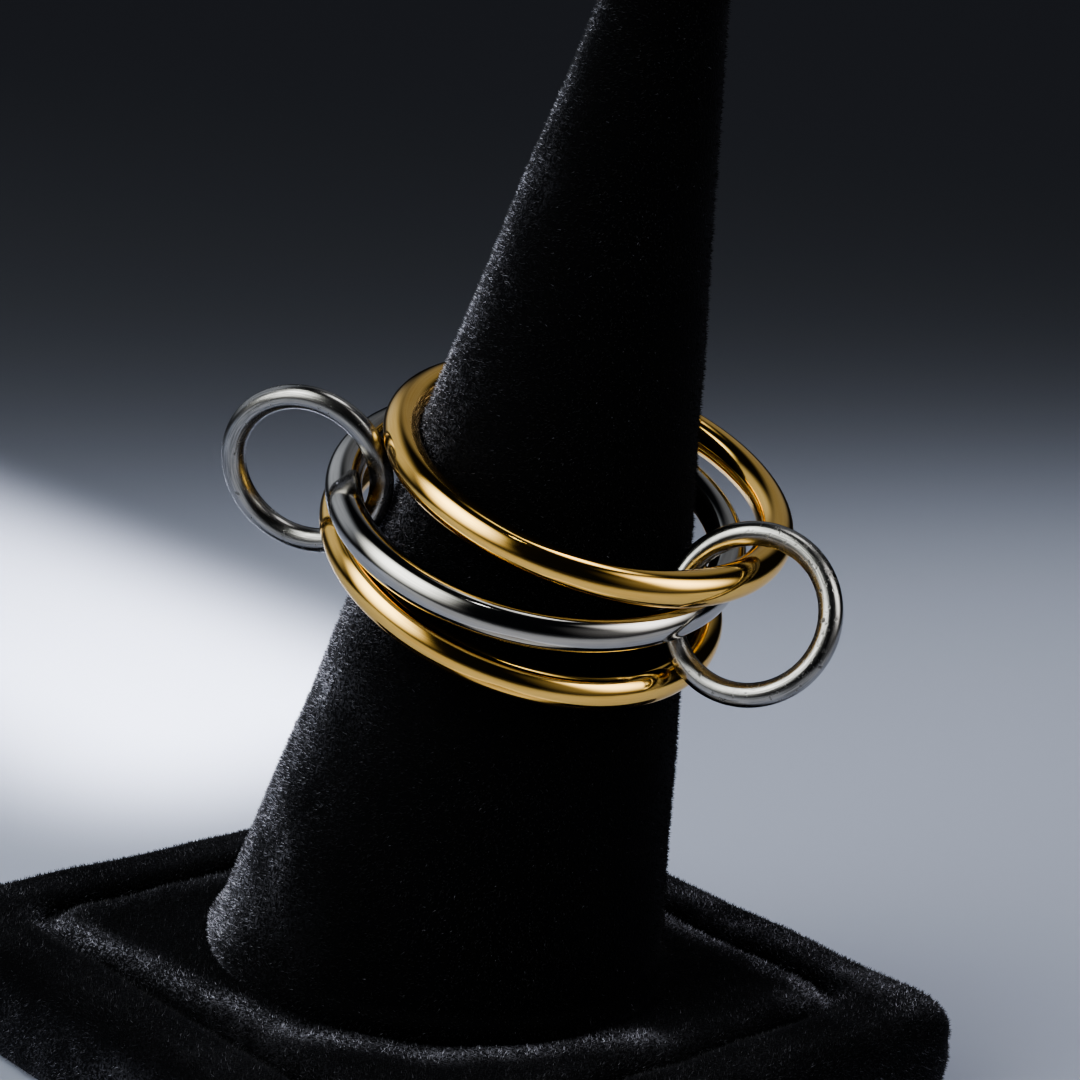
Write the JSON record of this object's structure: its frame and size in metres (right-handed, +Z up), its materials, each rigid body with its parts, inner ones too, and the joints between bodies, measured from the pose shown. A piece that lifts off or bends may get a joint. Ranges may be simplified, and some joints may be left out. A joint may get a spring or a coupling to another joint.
{
  "type": "interlocking ring on a ring cone",
  "caption": "Interlocking ring of round-wire bands chained by round links, lying on a leaning velvet ring cone with a square base.",
  "frame": {"origin": "centre of the underside of the square base", "axes": "+Z up; X and Y along the sides of the base; the cone leans to +X; the picture looks from between +X and -Y"},
  "size_m": [0.0402, 0.04, 0.0613],
  "materials": {
    "gold": "polished yellow gold",
    "silver": "polished silver",
    "link_silver": "polished silver, a little darker and scuffed",
    "velvet": "black velvet with a short pile"
  },
  "bodies": {
    "root": {"upper_band": "gold", "middle_band": "silver", "lower_band": "gold", "right_link": "link_silver", "left_link": "link_silver", "cone": "velvet", "base": "velvet"}
  },
  "joints": []
}
